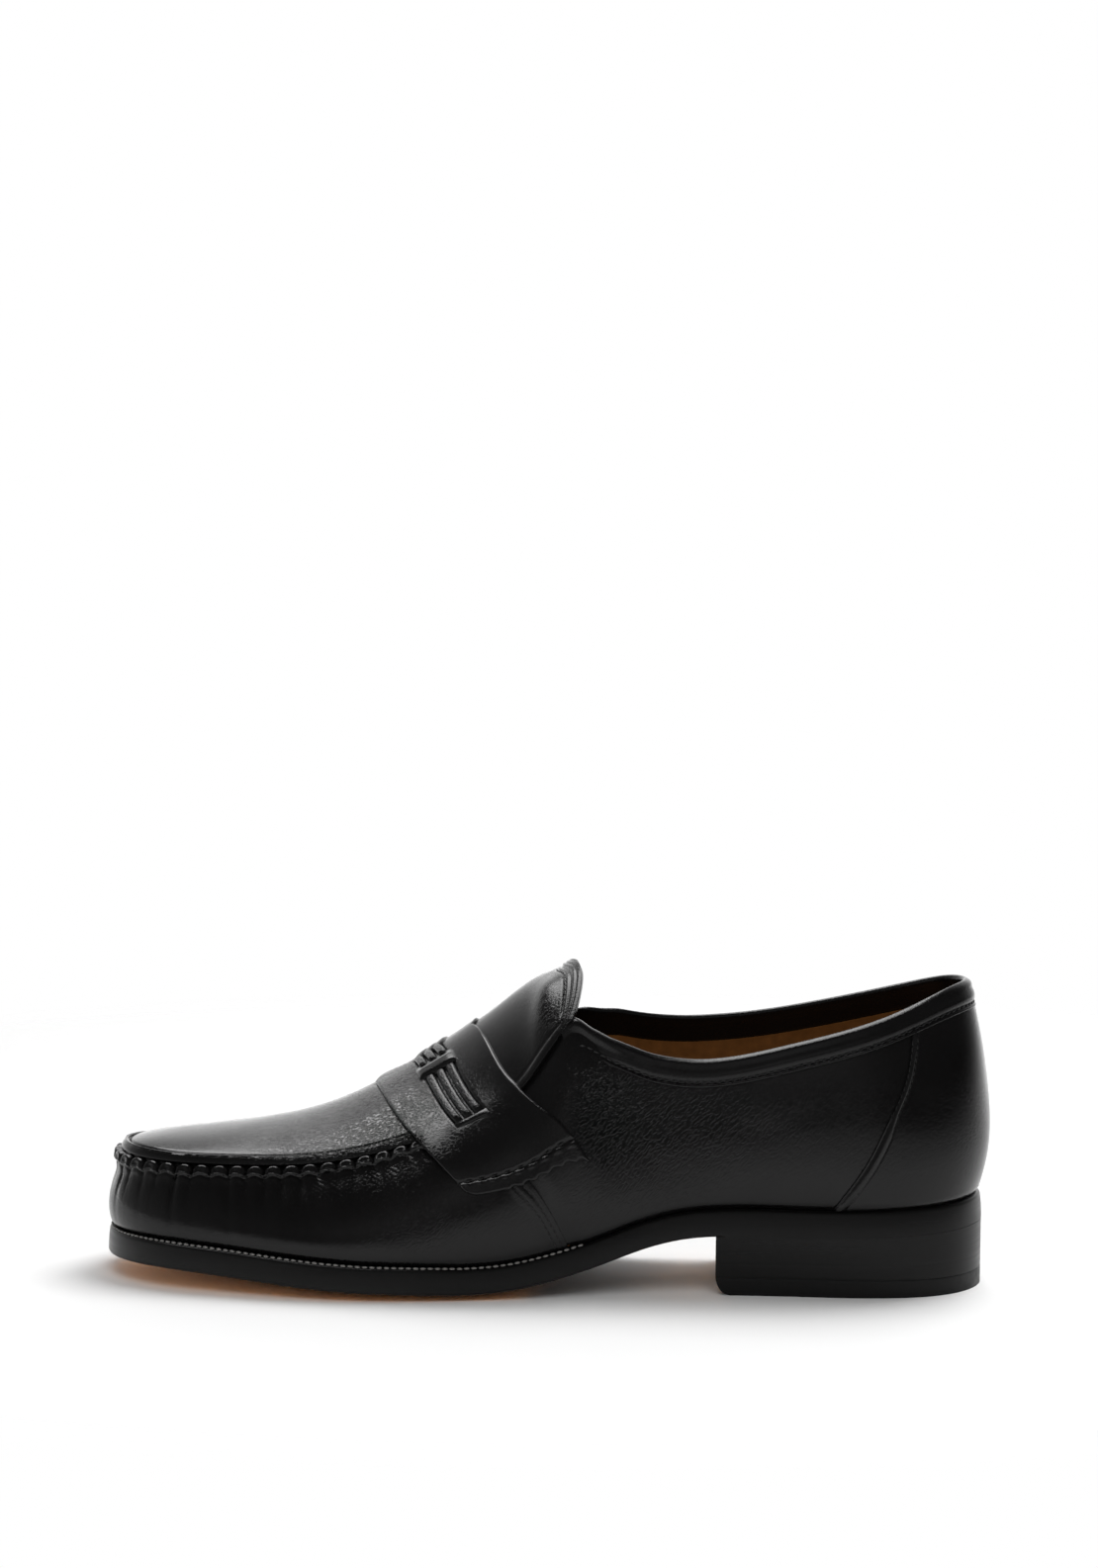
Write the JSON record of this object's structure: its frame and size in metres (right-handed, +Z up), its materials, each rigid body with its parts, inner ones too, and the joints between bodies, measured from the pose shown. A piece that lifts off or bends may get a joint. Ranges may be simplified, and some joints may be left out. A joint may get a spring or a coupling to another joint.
{
  "type": "slip-on dress shoe",
  "caption": "Black leather slip-on shoe with a gathered moccasin toe, a strap with a woven ornament over the instep, a tan lining and a stacked heel.",
  "frame": {"origin": "middle of the shoe's bounding box, on the floor", "axes": "+X along the shoe towards the heel, +Y towards the inner side of the foot, +Z up"},
  "size_m": [0.297, 0.099, 0.1067],
  "materials": {
    "upper_leather": "polished",
    "sole_leather": "waxed edge",
    "insole_leather": "matt",
    "top_piece_rubber": "matt"
  },
  "bodies": {
    "root": {"outsole": "sole_leather", "welt": "sole_leather", "heel_stack": "sole_leather", "heel_top_piece": "top_piece_rubber", "insole": "insole_leather", "upper": "upper_leather", "apron": "upper_leather", "strap": "upper_leather", "strip_lateral_1": "upper_leather", "strip_lateral_2": "upper_leather", "strip_lateral_3": "upper_leather", "strip_medial_1": "upper_leather", "strip_medial_2": "upper_leather", "strip_medial_3": "upper_leather", "tongue": "upper_leather", "collar": "upper_leather", "counter": "upper_leather"}
  },
  "joints": []
}
